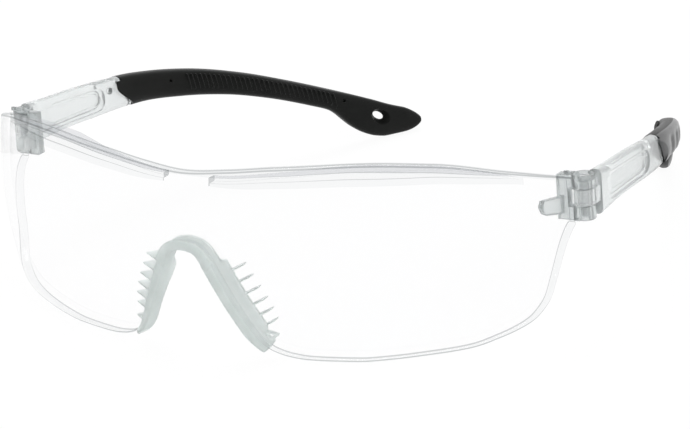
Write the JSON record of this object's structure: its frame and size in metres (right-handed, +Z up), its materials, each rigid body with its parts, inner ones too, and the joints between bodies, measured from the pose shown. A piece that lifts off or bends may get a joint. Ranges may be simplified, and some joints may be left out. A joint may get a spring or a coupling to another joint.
{
  "type": "safety glasses",
  "caption": "Clear wraparound safety glasses with a one-piece lens, a soft nose piece, and folding clear temples in dark soft sleeves.",
  "frame": {"origin": "centre of the footprint's bounding box, on the surface that the open glasses rest on", "axes": "+Z up as the glasses rest open on a table; the lens faces -Y and the temples run back along +Y; +X towards the wearer's left"},
  "size_m": [0.1508, 0.1538, 0.0442],
  "materials": {
    "clear_lens": "clear polished hard plastic",
    "clear_temple": "clear polished plastic",
    "frosted_clear": "clear grey plastic",
    "soft_clear": "translucent soft rubber",
    "dark_soft": "matt soft-touch rubber",
    "screw_steel": "bright steel"
  },
  "bodies": {
    "front": {"lens": "clear_lens", "nose_piece": "soft_clear", "hinge_block_left": "frosted_clear", "hinge_block_right": "frosted_clear", "hinge_screw_left": "screw_steel", "hinge_screw_right": "screw_steel"},
    "temple_left": {"temple_core_left": "clear_temple", "temple_sleeve_left": "dark_soft"},
    "temple_right": {"temple_core_right": "clear_temple", "temple_sleeve_right": "dark_soft"}
  },
  "joints": [
    {"name": "temple_fold_left", "type": "hinge", "parent": "front", "child": "temple_left", "pos_m": [0.0726, -0.03155, 0.0297], "axis": [0, 0.0187, 0.9998], "range_deg": [0, 82]},
    {"name": "temple_fold_right", "type": "hinge", "parent": "front", "child": "temple_right", "pos_m": [-0.0726, -0.03155, 0.0297], "axis": [0, -0.0187, -0.9998], "range_deg": [0, 68]}
  ]
}
